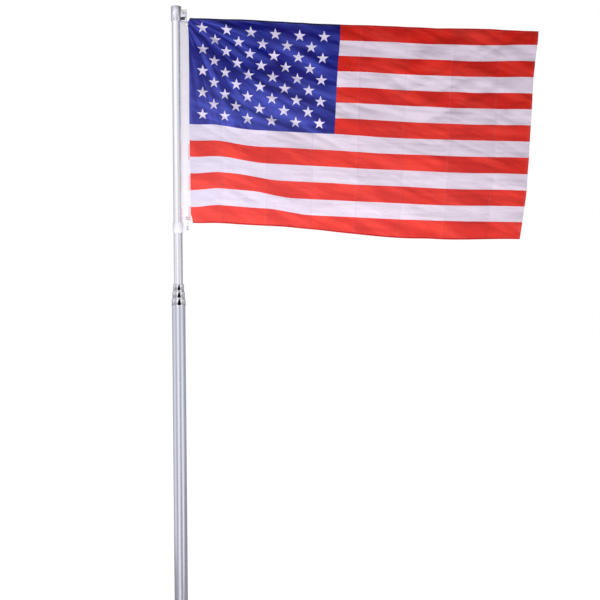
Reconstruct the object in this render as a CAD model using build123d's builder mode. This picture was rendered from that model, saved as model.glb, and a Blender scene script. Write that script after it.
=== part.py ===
from build123d import *
import os
from math import cos, radians, sin, sqrt

# Telescoping flagpole of four nested aluminium tubes with twist-lock collars, shown
# with its top tube drawn out and a printed flag clipped to a swivelling truck.
# Millimetres. Z is the pole's axis, the origin is the middle of its foot face, and
# the flag flies towards +X.

# Tubes, widest first
tube_diameters = [57.15, 50.8, 44.45, 38.1]
tube_wall = 1.27
tube_length = 1600
top_draw = 1184  # how far the top tube is drawn out of the upper collar
slide_gap = 0.3  # between a sliding piece and what it slides on
seat_gap = 0.1  # between two fixed round pieces, one inside the other

# Twist-lock collars
collar_height = 31
collar_gap = 0.4  # between two collars when the pole is collapsed
collar_wall = 1.2  # outside the tube that carries it
skirt_height = 3.5  # how far a collar reaches down over its tube's end
collar_chamfer = 1.2

# Finger dimples on a collar: round and deep near the bottom, pointed at the top
dimple_count = 10
dimple_facing = -87  # azimuth of one dimple, in degrees
dimple_depth = 1.8
dimple_low = 4.2
dimple_deep = 9.5
dimple_high = 28
dimple_width_share = 0.8  # of the pitch between two dimples

# Plugs in the tubes' lower ends
foot_flange = 5
plug_spigot = 17
plug_rib = 4
guide_flange = 10

# Truck that turns on the top tube's end
truck_wall = 2.75
truck_height = 62
truck_lid = 9
truck_chamfer = 1.5
truck_flat = 0.8  # depth of the bracket's seat in the truck's side
plug_flange = 3
stud_diameter = 10
stud_head_diameter = 17
stud_head = 3.5
socket_across = 5.8  # hexagon socket in the stud's head, across its corners
socket_depth = 2.1

# Bracket on the truck's flag side
bracket_length = 25.2
bracket_high = 15  # below the truck's top
bracket_height = 31
bracket_cut = 9  # of its lower outer corner
bracket_round = 2.5
cheek_thickness = 2.1
bracket_base = 3
bumper_length = 16.7
bumper_height = 12
bumper_chamfer = 1.5

# Snap hooks and the pins that carry them
pin_radius = 3
pin_head_radius = 4.2
pin_head = 1.2
pin_play = 0.08
upper_pin_out = 19.2  # from the bracket's seat
upper_pin_drop = 14.5  # below the bracket's top edge
eye_radius = 6.5
eye_width = 7.2
neck_radius = 2.8
crosspiece_from = 19.5
crosspiece_height = 5
crosspiece_depth = 5.2
hook_bar_radius = 2  # to the flats of the eight-sided bar
bar_sides = 8
hook_half_width = 5.5
hook_tip = 33
hook_reach = 44.3  # from the pin to the middle of the bar in the grommet
gate_radius = 1.6

# Flag
header_gap = 1.45  # from the top tube
header_height = 855
header_width = 32
header_thickness = 2.4
fly_length = 1490
fly_droop = 56  # how far the top edge falls towards the fly end
fly_edge_extra = 7.5  # the fly end hangs this much longer than the hoist
fly_sweep = 90  # how far the fly end's lower corner hangs back towards the pole
hoist_rise = 9.5  # above the header's top end
hoist_overhang = 10  # below its lower end
bottom_sag = 8  # the bottom edge's place above the fly end's lower corner
bottom_sag_share = 0.6
wave_count = 7
wave_height = 11
cloth_thickness = 2
grommet_radius = 5
grommet_flange = 8.5
grommet_inset = 13.5  # from the header's end
grommet_plate = 0.6
upper_grommet_in = 23.5  # from the header's edge at the pole
lower_grommet_in = 20.5

# Ring that ties the flag's lower corner to the pole
ring_wall = 3
ring_height = 43
ring_slide_gap = 0.45
ring_ear = 2.6
ring_ear_radius = 9
ring_ear_up = 4  # above the ring's lower edge

# Places along the pole, worked out from the sizes above
collar_pitch = collar_height + collar_gap
tube_bottoms = [foot_flange, foot_flange + collar_pitch, foot_flange + 2 * collar_pitch]
collar_bottoms = [z + tube_length - skirt_height for z in tube_bottoms]
pole_top = collar_bottoms[-1] + collar_height + top_draw
top_tube_end = pole_top - truck_lid - plug_flange
tube_bottoms.append(top_tube_end - tube_length)
truck_bottom = pole_top - truck_height
bracket_top = pole_top - bracket_high
bracket_bottom = bracket_top - bracket_height

# Places across the pole, from the top tube's side outwards
truck_radius = tube_diameters[-1] / 2 + slide_gap + truck_wall
bracket_flat = truck_radius - truck_flat
cheek_inner = eye_width / 2 + slide_gap
bracket_width = 2 * (cheek_inner + cheek_thickness)
header_x = tube_diameters[-1] / 2 + header_gap
cloth_x = header_x + header_width + slide_gap

# The snaps' pull on the flag: pin, hook, grommet, header, grommet, hook and pin in turn
barrel = grommet_radius + grommet_plate
plate_from = header_thickness / 2 + seat_gap
plate_to = plate_from + grommet_plate
bar_bow = hook_half_width - sqrt(hook_half_width**2 - plate_to**2)
pin_to_grommet = hook_reach + grommet_radius - hook_bar_radius - slide_gap - bar_bow
upper_pin_at = Vector(bracket_flat + upper_pin_out, 0, bracket_top - upper_pin_drop)
upper_lean = header_x + upper_grommet_in - upper_pin_at.X
upper_grommet = upper_pin_at + Vector(upper_lean, 0, -sqrt(pin_to_grommet**2 - upper_lean**2))
header_top = upper_grommet.Z + grommet_inset
header_bottom = header_top - header_height
lower_grommet = Vector(header_x + lower_grommet_in, 0, header_bottom + grommet_inset)
lower_pin_at = lower_grommet - Vector(0, 0, pin_to_grommet)
hoist_top = header_top + hoist_rise
fly_edge_height = hoist_rise + header_height + hoist_overhang + fly_edge_extra
names = ["bottom", "lower_middle", "upper_middle", "top"]

os.makedirs("parts", exist_ok=True)


def save(part, name):
    part.label = name
    export_step(part, f"parts/{name}.step")


# Four round tubes
for name, diameter, bottom in zip(names, tube_diameters, tube_bottoms):
    with BuildPart() as tube:
        with BuildSketch(Plane.XY.offset(bottom)):
            Circle(diameter / 2)
            Circle(diameter / 2 - tube_wall, mode=Mode.SUBTRACT)
        extrude(amount=tube_length)
    save(tube.part, f"{name}_tube")


def rib_spigot(bore, bottom):
    """Crossed ribs that press into a tube's bore, with corners that stay inside it."""
    length = 2 * sqrt((bore - seat_gap) ** 2 - (plug_rib / 2) ** 2)
    with BuildPart() as spigot:
        with BuildSketch(Plane.XY.offset(bottom)):
            Rectangle(length, plug_rib)
            Rectangle(plug_rib, length)
        extrude(amount=plug_spigot)
    return spigot.part


# Foot plug that closes the bottom tube and stands on the ground
foot_spigot = rib_spigot(tube_diameters[0] / 2 - tube_wall, foot_flange)
with BuildPart() as foot_plug:
    with BuildSketch():
        Circle(tube_diameters[0] / 2)
    extrude(amount=foot_flange)
    add(foot_spigot)
save(foot_plug.part, "foot_plug")

# Guide plugs: ribs inside the tube and a flange that runs in the next wider tube
for index in range(1, 4):
    runs_in = tube_diameters[index - 1] / 2 - tube_wall
    bottom = tube_bottoms[index]
    spigot = rib_spigot(tube_diameters[index] / 2 - tube_wall, bottom)
    with BuildPart() as guide:
        with BuildSketch(Plane.XY.offset(bottom - guide_flange)):
            Circle(runs_in - slide_gap)
        extrude(amount=guide_flange)
        add(spigot)
    save(guide.part, f"{names[index]}_guide")


def dimple_scoop(outside, bottom):
    """Two leaning cylinders beside the collar, whose common part cuts one teardrop dimple."""
    half_angle = radians(180 / dimple_count * dimple_width_share)
    edge_x, edge_y = outside * cos(half_angle), outside * sin(half_angle)
    inside = outside - dimple_depth
    # The circle through the dimple's deepest point and its two widest points
    radius = ((edge_x - inside) ** 2 + edge_y**2) / (2 * (edge_x - inside))
    deepest = Vector(inside, 0, bottom + dimple_deep)
    low_end = Vector(outside, 0, bottom + dimple_low)
    high_end = Vector(outside, 0, bottom + dimple_high)
    with BuildPart() as scoop:
        for slope, mode in ((high_end - deepest, Mode.ADD), (deepest - low_end, Mode.INTERSECT)):
            lean = slope.normalized()
            centre = deepest + lean.cross(Vector(0, -1, 0)) * radius
            with BuildSketch(Plane(centre, x_dir=(0, 1, 0), z_dir=lean)):
                Circle(radius)
            extrude(amount=2 * collar_height, both=True, mode=mode)
    return scoop.part


# Twist-lock collars: a skirt over the end of one tube and a thick, dimpled grip round the next
for index, name in enumerate(["lower", "middle", "upper"]):
    own, inner = tube_diameters[index] / 2, tube_diameters[index + 1] / 2
    bottom = collar_bottoms[index]
    outside = own + collar_wall
    scoop = dimple_scoop(outside, bottom)
    with BuildPart() as collar:
        with BuildSketch(Plane.XY.offset(bottom)):
            Circle(outside)
        extrude(amount=collar_height)
        chamfer(collar.edges().group_by(Axis.Z)[-1], collar_chamfer)
        with BuildSketch(Plane.XY.offset(bottom)):
            Circle(own + slide_gap)
        extrude(amount=skirt_height + slide_gap, mode=Mode.SUBTRACT)
        with BuildSketch(Plane.XY.offset(bottom)):
            Circle(inner + slide_gap)
        extrude(amount=collar_height, mode=Mode.SUBTRACT)
        with PolarLocations(0, dimple_count, start_angle=dimple_facing):
            add(scoop, mode=Mode.SUBTRACT)
    save(collar.part, f"{name}_collar")

# Plug in the top tube's end, with the stud that the truck turns on
top_spigot = rib_spigot(tube_diameters[-1] / 2 - tube_wall, top_tube_end - plug_spigot)
with BuildPart() as top_plug:
    add(top_spigot)
    with BuildSketch(Plane.XY.offset(top_tube_end)):
        Circle(tube_diameters[-1] / 2)
    extrude(amount=plug_flange - slide_gap)
    with BuildSketch(Plane.XY.offset(top_tube_end)):
        Circle(stud_diameter / 2)
    extrude(amount=pole_top - stud_head - top_tube_end)
save(top_plug.part, "top_plug")

# Shoulder screw head that keeps the truck on its stud
with BuildPart() as truck_screw:
    with BuildSketch(Plane.XY.offset(pole_top - stud_head)):
        Circle(stud_head_diameter / 2)
    extrude(amount=stud_head - slide_gap)
    with BuildSketch(Plane.XY.offset(pole_top - slide_gap)):
        RegularPolygon(socket_across / 2, 6)
    extrude(amount=-socket_depth, mode=Mode.SUBTRACT)
save(truck_screw.part, "truck_screw")

# Truck: a cap over the top tube's end with a flat where the bracket sits
with BuildPart() as truck_cap:
    with BuildSketch(Plane.XY.offset(truck_bottom)):
        Circle(truck_radius)
    extrude(amount=truck_height)
    chamfer(truck_cap.edges().group_by(Axis.Z)[-1], truck_chamfer)
    with BuildSketch(Plane.XY.offset(truck_bottom)):
        Circle(tube_diameters[-1] / 2 + slide_gap)
    extrude(amount=truck_height - truck_lid, mode=Mode.SUBTRACT)
    with BuildSketch(Plane.XY.offset(pole_top - truck_lid)):
        Circle(stud_diameter / 2 + pin_play)
    extrude(amount=truck_lid, mode=Mode.SUBTRACT)
    with BuildSketch(Plane.XY.offset(pole_top - stud_head - slide_gap)):
        Circle(stud_head_diameter / 2 + slide_gap)
    extrude(amount=stud_head + slide_gap, mode=Mode.SUBTRACT)
    with BuildSketch(Plane.YZ.offset(bracket_flat)):
        with Locations((0, (bracket_top + truck_bottom) / 2)):
            Rectangle(2 * truck_radius, bracket_top - truck_bottom)
    extrude(amount=truck_radius, mode=Mode.SUBTRACT)
save(truck_cap.part, "truck_cap")

# Bracket: two cheeks on a base plate, with the snap's pin through them
bracket_reach = bracket_flat + bracket_length
with BuildPart() as bracket:
    with BuildSketch(Plane.XZ):
        with BuildLine():
            Polyline(
                (bracket_flat, bracket_bottom),
                (bracket_reach - bracket_cut, bracket_bottom),
                (bracket_reach, bracket_bottom + bracket_cut),
                (bracket_reach, bracket_top),
                (bracket_flat, bracket_top),
                close=True,
            )
        outline = make_face()
        fillet(outline.vertices().group_by(Axis.X)[-1], bracket_round)
    extrude(amount=bracket_width / 2, both=True)
    with BuildSketch(Plane.XZ):
        with Locations((bracket_flat + bracket_base, bracket_bottom)):
            Rectangle(bracket_length, bracket_height, align=(Align.MIN, Align.MIN))
    extrude(amount=cheek_inner, both=True, mode=Mode.SUBTRACT)
    with BuildSketch(Plane.XZ):
        with Locations((upper_pin_at.X, upper_pin_at.Z)):
            Circle(pin_radius)
    extrude(amount=bracket_width, both=True, mode=Mode.SUBTRACT)
save(bracket.part, "truck_bracket")

# Stop block under the bracket
with BuildPart() as bumper:
    with BuildSketch(Plane.XZ):
        with Locations((bracket_flat, bracket_bottom)):
            Rectangle(bumper_length, bumper_height, align=(Align.MIN, Align.MAX))
    extrude(amount=bracket_width / 2, both=True)
    chamfer(bumper.faces().sort_by(Axis.X)[-1].edges(), bumper_chamfer)
save(bumper.part, "bracket_stop")


def snap_hook(place):
    """A swivel snap hook and its gate. The plane's origin is on the pin's axis, its x runs to the
    grommet and its y runs along the pin."""
    along = place.x_dir
    eye_plane = Plane(place.origin, x_dir=along, z_dir=place.y_dir)

    def across(distance):
        return Plane(place.origin + along * distance, x_dir=place.y_dir, z_dir=along)

    bend = hook_reach - hook_half_width
    spine_from = crosspiece_from + crosspiece_height / 2
    with BuildPart() as snap:
        with BuildSketch(eye_plane):
            Circle(eye_radius)
        extrude(amount=eye_width / 2, both=True)
        with BuildSketch(across(eye_radius / 2)):
            Circle(neck_radius)
        extrude(amount=crosspiece_from - eye_radius / 2)
        with BuildSketch(across(crosspiece_from)):
            bar = Rectangle(2 * (hook_half_width + hook_bar_radius), crosspiece_depth)
            chamfer(bar.vertices(), crosspiece_depth / 4)
        extrude(amount=crosspiece_height)
        with BuildLine(place) as path:
            Line((spine_from, hook_half_width), (bend, hook_half_width))
            RadiusArc((bend, hook_half_width), (bend, -hook_half_width), hook_half_width)
            Line((bend, -hook_half_width), (hook_tip, -hook_half_width))
        with BuildSketch(Plane(path.line @ 0, x_dir=place.z_dir, z_dir=path.line % 0)):
            RegularPolygon(hook_bar_radius, bar_sides, major_radius=False, rotation=180 / bar_sides)
        sweep(path=path.line)
        with BuildSketch(eye_plane):
            Circle(pin_radius + pin_play)
        extrude(amount=eye_width, both=True, mode=Mode.SUBTRACT)
    gate_from = crosspiece_from + crosspiece_height
    with BuildPart() as gate:
        with BuildSketch(across(gate_from)):
            with Locations((-hook_half_width, 0)):
                Circle(gate_radius)
        extrude(amount=hook_tip - gate_from)
    return snap.part, gate.part


# Snap hooks, drawn tight between their pins and the header's grommets
upper_way = (upper_grommet - upper_pin_at).normalized()
across_y = Vector(0, 1, 0)
upper_snap, upper_gate = snap_hook(Plane(upper_pin_at, x_dir=upper_way, z_dir=upper_way.cross(across_y)))
lower_snap, lower_gate = snap_hook(Plane(lower_pin_at, x_dir=(0, 0, 1), z_dir=(-1, 0, 0)))
with BuildPart() as snap_hooks:
    add(upper_snap)
    add(lower_snap)
save(snap_hooks.part, "snap_hooks")
with BuildPart() as snap_gates:
    add(upper_gate)
    add(lower_gate)
save(snap_gates.part, "snap_gates")

# Flag header and its two grommets
with BuildPart() as header:
    with BuildSketch(Plane.XZ):
        with Locations((header_x, header_bottom)):
            Rectangle(header_width, header_height, align=(Align.MIN, Align.MIN))
        with Locations((upper_grommet.X, upper_grommet.Z), (lower_grommet.X, lower_grommet.Z)):
            Circle(barrel + slide_gap, mode=Mode.SUBTRACT)
    extrude(amount=header_thickness / 2, both=True)
save(header.part, "header_band")

with BuildPart() as grommets:
    for centre in (upper_grommet, lower_grommet):
        face = Plane(centre, x_dir=(1, 0, 0), z_dir=(0, -1, 0))
        with BuildSketch(face):
            Circle(grommet_flange)
        extrude(amount=plate_to, both=True)
        with BuildSketch(face):
            Circle(grommet_flange + 1)
            Circle(barrel, mode=Mode.SUBTRACT)
        extrude(amount=plate_from, both=True, mode=Mode.SUBTRACT)
        with BuildSketch(face):
            Circle(grommet_radius)
        extrude(amount=plate_to, both=True, mode=Mode.SUBTRACT)
save(grommets.part, "grommets")

# Flag cloth: a thin sheet in gentle waves, cut to its drooping outline
hoist_low = Vector(cloth_x, header_bottom - hoist_overhang)
hoist_high = Vector(cloth_x, hoist_top)
fly_high = hoist_high + Vector(fly_length, -fly_droop)
fly_low = fly_high - Vector(fly_sweep, fly_edge_height)
sag = Vector(cloth_x + bottom_sag_share * fly_length, fly_low.Y + bottom_sag)
cloth_from = min(hoist_low.Y, fly_low.Y) - header_width
wave_length = fly_length / wave_count
with BuildPart() as cloth:
    with BuildSketch(Plane.XY.offset(cloth_from)):
        with BuildLine():
            for side in (-cloth_thickness / 2, cloth_thickness / 2):
                for index in range(wave_count):
                    start = cloth_x + index * wave_length
                    crest = (start + wave_length / 2, side + wave_height * (-1) ** index)
                    ThreePointArc((start, side), crest, (start + wave_length, side))
            for end in (cloth_x, cloth_x + fly_length):
                Line((end, -cloth_thickness / 2), (end, cloth_thickness / 2))
        make_face()
    extrude(amount=hoist_top + header_width - cloth_from)
    with BuildSketch(Plane.XZ):
        with BuildLine():
            Line(hoist_high, fly_high)
            Line(fly_high, fly_low)
            ThreePointArc(fly_low, sag, hoist_low)
            Line(hoist_low, hoist_high)
        make_face()
    extrude(amount=2 * wave_height + header_width, both=True, mode=Mode.INTERSECT)
save(cloth.part, "flag_cloth")

# Lower ring with two ears for the snap's pin
ring_bottom = lower_pin_at.Z - ring_ear_radius - ring_ear_up
ring_bore = tube_diameters[-1] / 2 + ring_slide_gap
ear_root = ring_bore + ring_wall / 2
with BuildPart() as ring:
    with BuildSketch(Plane.XY.offset(ring_bottom)):
        Circle(ring_bore + ring_wall)
    extrude(amount=ring_height)
    with BuildSketch(Plane.XZ):
        with Locations((lower_pin_at.X, lower_pin_at.Z)):
            Circle(ring_ear_radius)
        with Locations((ear_root, lower_pin_at.Z)):
            Rectangle(lower_pin_at.X - ear_root, 2 * ring_ear_radius, align=(Align.MIN, Align.CENTER))
    extrude(amount=cheek_inner + ring_ear, both=True)
    with BuildSketch(Plane.XZ):
        with Locations((ring_bore + ring_wall, lower_pin_at.Z)):
            Rectangle(lower_pin_at.X, 3 * ring_ear_radius, align=(Align.MIN, Align.CENTER))
    extrude(amount=cheek_inner, both=True, mode=Mode.SUBTRACT)
    with BuildSketch(Plane.XY.offset(ring_bottom)):
        Circle(ring_bore)
    extrude(amount=ring_height, mode=Mode.SUBTRACT)
    with BuildSketch(Plane.XZ):
        with Locations((lower_pin_at.X, lower_pin_at.Z)):
            Circle(pin_radius)
    extrude(amount=2 * ring_ear_radius, both=True, mode=Mode.SUBTRACT)
save(ring.part, "lower_ring")

# Headed pins that carry the snaps, through the bracket's cheeks and the ring's ears
ear_width = 2 * (cheek_inner + ring_ear)
with BuildPart() as snap_pins:
    for centre, width in ((upper_pin_at, bracket_width), (lower_pin_at, ear_width)):
        middle = Plane(centre, x_dir=(1, 0, 0), z_dir=(0, 1, 0))
        with BuildSketch(middle):
            Circle(pin_radius)
        extrude(amount=width / 2, both=True)
        for side in (-1, 1):
            with BuildSketch(middle.offset(side * width / 2)):
                Circle(pin_head_radius)
            extrude(amount=side * pin_head)
save(snap_pins.part, "snap_pins")
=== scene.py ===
from math import atan2, cos, exp, hypot, pi, radians, sin, sqrt

import bmesh
import bpy
from mathutils import Matrix, Vector, noise


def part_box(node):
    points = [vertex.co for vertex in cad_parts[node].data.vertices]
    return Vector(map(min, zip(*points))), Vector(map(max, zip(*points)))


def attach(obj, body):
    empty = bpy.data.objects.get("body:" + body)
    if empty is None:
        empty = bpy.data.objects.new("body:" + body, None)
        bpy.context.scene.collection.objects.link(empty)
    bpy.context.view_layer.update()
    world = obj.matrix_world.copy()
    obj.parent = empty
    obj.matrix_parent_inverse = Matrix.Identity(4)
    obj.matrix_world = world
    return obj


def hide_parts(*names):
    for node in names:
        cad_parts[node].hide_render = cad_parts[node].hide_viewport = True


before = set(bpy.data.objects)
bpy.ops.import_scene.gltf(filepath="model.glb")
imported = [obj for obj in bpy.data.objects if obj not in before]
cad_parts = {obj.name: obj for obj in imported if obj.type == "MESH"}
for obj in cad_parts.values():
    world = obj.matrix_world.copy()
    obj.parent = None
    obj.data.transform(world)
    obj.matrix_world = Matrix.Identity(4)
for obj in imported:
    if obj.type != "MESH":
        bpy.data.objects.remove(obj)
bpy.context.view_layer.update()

# Telescoping flagpole with a printed flag. Metres, in the frame of the CAD model: Z is the
# pole's axis, the flag flies towards +X and the camera looks from -Y.
mm = 0.001
swivel = "flag_swivel"


# Meshes

def add_object(name, data):
    """An object with this data, linked to the scene."""
    made = bpy.data.objects.new(name, data)
    bpy.context.scene.collection.objects.link(made)
    return made


def new_piece(name, points, faces, material, body, slot):
    """A mesh object that rides on a body, in the material it is given."""
    mesh = bpy.data.meshes.new(name)
    mesh.from_pydata([tuple(p) for p in points], [], faces)
    mesh.validate()
    mesh.polygons.foreach_set("use_smooth", [True] * len(mesh.polygons))
    mesh.materials.append(material)
    piece = add_object(name, mesh)
    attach(piece, body)
    return piece


def piece_of(work, name, material):
    """An object of one material from what was built in bmesh."""
    mesh = bpy.data.meshes.new(name)
    work.to_mesh(mesh)
    work.free()
    mesh.materials.append(material)
    return add_object(name, mesh)


def sharp_by_angle(mesh, degrees):
    """Smooth shading, with edges over an angle left sharp."""
    work = bmesh.new()
    work.from_mesh(mesh)
    for face in work.faces:
        face.smooth = True
    for edge in work.edges:
        edge.smooth = len(edge.link_faces) == 2 and edge.calc_face_angle() < radians(degrees)
    work.to_mesh(mesh)
    work.free()


def rounded(name, node, material, body, width):
    """A piece with the form of a CAD node and softly rounded edges, which stands for it."""
    weld_distance, flat_angle, rounded_angle = 0.001 * mm, radians(0.6), radians(35)
    work = bmesh.new()
    work.from_mesh(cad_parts[node].data)
    bmesh.ops.remove_doubles(work, verts=work.verts, dist=weld_distance)
    bmesh.ops.dissolve_limit(work, angle_limit=flat_angle, verts=work.verts, edges=work.edges)
    piece = piece_of(work, name, material)
    bevel = piece.modifiers.new("edges", "BEVEL")
    bevel.width = width
    bevel.segments = 3
    bevel.limit_method = "ANGLE"
    bevel.angle_limit = rounded_angle
    graph = bpy.context.evaluated_depsgraph_get()
    mesh = bpy.data.meshes.new_from_object(piece.evaluated_get(graph))
    piece.modifiers.clear()
    piece.data = mesh
    sharp_by_angle(mesh, 40)
    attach(piece, body)
    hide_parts(node)


def band(rings, sides, closed=False, inward=False):
    """Faces between rings of vertices that follow each other, and back to the first if closed."""
    faces = []
    for i in range(rings if closed else rings - 1):
        low, high = i * sides, (i + 1) % rings * sides
        for k in range(sides):
            after = (k + 1) % sides
            face = (low + k, low + after, high + after, high + k)
            faces.append((face[0], *face[:0:-1]) if inward else face)
    return faces


def joined(parts):
    """Vertices and faces of several meshes as those of one."""
    points, faces = [], []
    for part_points, part_faces in parts:
        start = len(points)
        points.extend(part_points)
        faces.extend(tuple(start + i for i in face) for face in part_faces)
    return points, faces


def tube_along(points, radii, sides=24):
    """Vertices and faces of a closed round bar through points, with a radius at each."""
    rings = []
    side = None
    for index, point in enumerate(points):
        before = points[max(index - 1, 0)]
        after = points[min(index + 1, len(points) - 1)]
        along = (after - before).normalized()
        if side is None:
            side = along.orthogonal().normalized()
        side = (side - along * side.dot(along)).normalized()
        other = along.cross(side)
        for k in range(sides):
            angle = 2 * pi * k / sides
            rings.append(point + radii[index] * (cos(angle) * side + sin(angle) * other))
    first_end = tuple(reversed(range(sides)))
    last_end = tuple(range(len(rings) - sides, len(rings)))
    return rings, [*band(len(points), sides), first_end, last_end]


def spread(start, end, count):
    """Places from a start to an end, both included, at even steps."""
    return [start + (end - start) * k / count for k in range(count + 1)]


def rise(x, start, length):
    """From 0 at a start to 1 a length further, with soft ends."""
    share = min(max((x - start) / length, 0.0), 1.0)
    return share * share * (3 - 2 * share)


def bell(x, middle, width):
    """1 at a middle, falling softly to 0 on both sides."""
    return exp(-(((x - middle) / width) ** 2))


# Materials

class Nodes:
    """The nodes of a material or of the world, written as plain calls."""

    def __init__(self, owner):
        owner.use_nodes = True
        self.tree = owner.node_tree

    def put(self, socket, value):
        """Links a value to a socket, or sets the socket to it."""
        if isinstance(value, bpy.types.NodeSocket):
            self.tree.links.new(value, socket)
        else:
            socket.default_value = value

    def node(self, kind, output=0, inputs=None, **settings):
        made = self.tree.nodes.new(kind)
        for key, value in settings.items():
            setattr(made, key, value)
        for key, value in (inputs or {}).items():
            self.put(made.inputs[key], value)
        return made.outputs[output]

    def math(self, operation, a, b=0.0, c=0.0, clamp=False):
        inputs = {0: a, 1: b, 2: c}
        return self.node("ShaderNodeMath", inputs=inputs, operation=operation, use_clamp=clamp)

    def both(self, a, b):
        return self.math("MULTIPLY", a, b)

    def either(self, a, b):
        return self.math("MAXIMUM", a, b)

    def rest(self, share):
        """What a share leaves of 1."""
        return self.math("SUBTRACT", 1.0, share)

    def wrapped(self, value, half):
        """A repeating value from -half to half."""
        turned = self.math("FLOORED_MODULO", self.math("ADD", value, half), 2 * half)
        return self.math("SUBTRACT", turned, half)

    def length(self, x, y):
        return self.math("SQRT", self.math("ADD", self.both(x, x), self.both(y, y)))

    def split(self, vector):
        """The three coordinates of a vector."""
        return self.node("ShaderNodeSeparateXYZ", inputs={0: vector}).node.outputs

    def mix(self, share, a, b):
        """One colour over another."""
        return self.node("ShaderNodeMix", 2, {0: share, 6: a, 7: b}, data_type="RGBA")

    def ramp(self, value, low, high, to_low=0.0, to_high=1.0, **settings):
        inputs = {"Value": value, "From Min": low, "From Max": high, "To Min": to_low, "To Max": to_high}
        return self.node("ShaderNodeMapRange", 0, inputs, **settings)


class Shader(Nodes):
    """A material round one principled surface, with constants for its sockets."""

    def __init__(self, name, **constants):
        self.material = bpy.data.materials.new(name)
        super().__init__(self.material)
        self.surface = self.tree.nodes["Principled BSDF"]
        for socket, value in constants.items():
            self.surface.inputs[socket.replace("_", " ")].default_value = value

    def uv(self, layer):
        """Both coordinates of a UV layer."""
        return self.split(self.node("ShaderNodeUVMap", uv_map=layer))[:2]

    def noise(self, scale, detail=3.0, stretch=(1, 1, 1), place=None):
        """Noise, in object space or at a place, finer along an axis that is stretched more."""
        if place is None:
            place = self.node("ShaderNodeTexCoord", "Object")
        moved = self.node("ShaderNodeMapping", 0, {"Vector": place, "Scale": stretch})
        return self.node("ShaderNodeTexNoise", "Fac", {"Vector": moved, "Scale": scale, "Detail": detail})

    def bump(self, height, strength, distance):
        """Adds relief to what the surface has so far."""
        normal = self.surface.inputs["Normal"]
        inputs = {"Height": height, "Strength": strength, "Distance": distance}
        if normal.is_linked:
            inputs["Normal"] = normal.links[0].from_socket
        self.put(normal, self.node("ShaderNodeBump", "Normal", inputs))

    def colour(self, value):
        self.put(self.surface.inputs["Base Color"], value)

    def roughness(self, value):
        self.put(self.surface.inputs["Roughness"], value)


def rgb(*channels):
    """A colour as it is seen on screen, 0 to 255, as the linear colour that a shader takes."""
    shares = [channel / 255 for channel in channels]
    linear = [share / 12.92 if share <= 0.04045 else ((share + 0.055) / 1.055) ** 2.4 for share in shares]
    return (*linear, 1.0)


def drawn_aluminium(name, light, dark, rough):
    """Drawn tube: long fine die lines, faint blotches and a few rubbed rings."""
    shader = Shader(name, Metallic=1.0)
    lines = shader.noise(260, 2, (1, 1, 0.004))
    broad = shader.noise(7, 3, (1, 1, 0.12))
    rubbed = shader.noise(90, 4, (0.15, 0.15, 1.6))
    tone = shader.math("ADD", shader.both(lines, 0.5), shader.both(broad, 0.5))
    worn = shader.ramp(rubbed, 0.62, 0.74, 0.0, 0.25)
    shader.colour(shader.mix(worn, shader.mix(shader.ramp(tone, 0.38, 0.62), dark, light), light))
    dull = shader.ramp(tone, 0.3, 0.7, rough - 0.02, rough + 0.03)
    shader.roughness(shader.math("ADD", dull, shader.both(worn, 0.06)))
    shader.bump(lines, 0.05, 0.1 * mm)
    return shader.material


def cast_alloy(name, light, dark):
    """Satin cast alloy with a fine sandy skin, brighter where it is handled."""
    shader = Shader(name, Metallic=1.0)
    grain = shader.noise(1400, 3)
    patch = shader.noise(45, 4)
    shader.colour(shader.mix(shader.ramp(patch, 0.35, 0.65), dark, light))
    shader.roughness(shader.ramp(patch, 0.3, 0.7, 0.26, 0.18))
    shader.bump(grain, 0.08, 0.1 * mm)
    return shader.material


def plated(name, light, dark, rough):
    """Bright plated metal with faint hairlines and a little dulling."""
    shader = Shader(name, Metallic=1.0)
    dull = shader.noise(60, 4)
    hair = shader.noise(900, 2, (1, 1, 0.05))
    shader.colour(shader.mix(shader.ramp(dull, 0.4, 0.7), light, dark))
    shader.roughness(shader.ramp(dull, 0.3, 0.75, rough, rough + 0.14))
    shader.bump(hair, 0.08, 0.08 * mm)
    return shader.material


def collar_chrome():
    """Polished collar, painted darker down in the dimples as shade."""
    shader = Shader("polished_collar_metal", Metallic=1.0)
    depth = shader.node("ShaderNodeAttribute", "Fac", attribute_name="depth")
    dull = shader.noise(70, 4)
    hair = shader.noise(800, 2, (0.05, 0.05, 1))
    tone = shader.mix(shader.ramp(dull, 0.35, 0.7), rgb(246, 244, 250), rgb(230, 228, 238))
    # Painted shade: the colour goes darker down in the dimples, the deeper they are
    shader.colour(shader.mix(shader.ramp(depth, 0.05, 0.5, 0.0, 0.3), tone, rgb(60, 60, 72)))
    shader.roughness(shader.ramp(dull, 0.3, 0.75, 0.06, 0.11))
    shader.bump(hair, 0.06, 0.08 * mm)
    return shader.material


def moulded(name, light, dark, rough):
    """Moulded plastic with a fine spark-eroded skin and slight changes of tone."""
    shader = Shader(name)
    grain = shader.noise(2600, 2)
    patch = shader.noise(38, 4)
    shader.colour(shader.mix(shader.ramp(patch, 0.35, 0.65), dark, light))
    shader.roughness(shader.ramp(patch, 0.3, 0.7, rough - 0.06, rough + 0.08))
    shader.bump(grain, 0.3, 0.05 * mm)
    return shader.material


# The print: thirteen stripes and a field of fifty stars, in shares of the flag's fly and hoist
field_share = 0.4348
stripe_count = 13
field_stripes = 7
star_first = (0.040, 0.0605)
star_pitch = (0.0349, 0.0534)
star_slope = 0.007
star_columns, star_rows = 11, 9
star_radius = 26.5 * mm
# Each ink runs from a darker colour to a lighter one that carries painted highlight and sheen
red_dark, red_light = rgb(206, 30, 17), rgb(247, 66, 52)
blue_dark, blue_light = rgb(4, 8, 109), rgb(69, 80, 186)
white_near, white_far, star_white = rgb(227, 218, 239), rgb(230, 216, 232), rgb(226, 218, 244)
# A darker white for painted shade, and a white for painted highlight and sheen
shaded_white, highlight_white = rgb(190, 178, 196), rgb(255, 245, 255)

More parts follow.
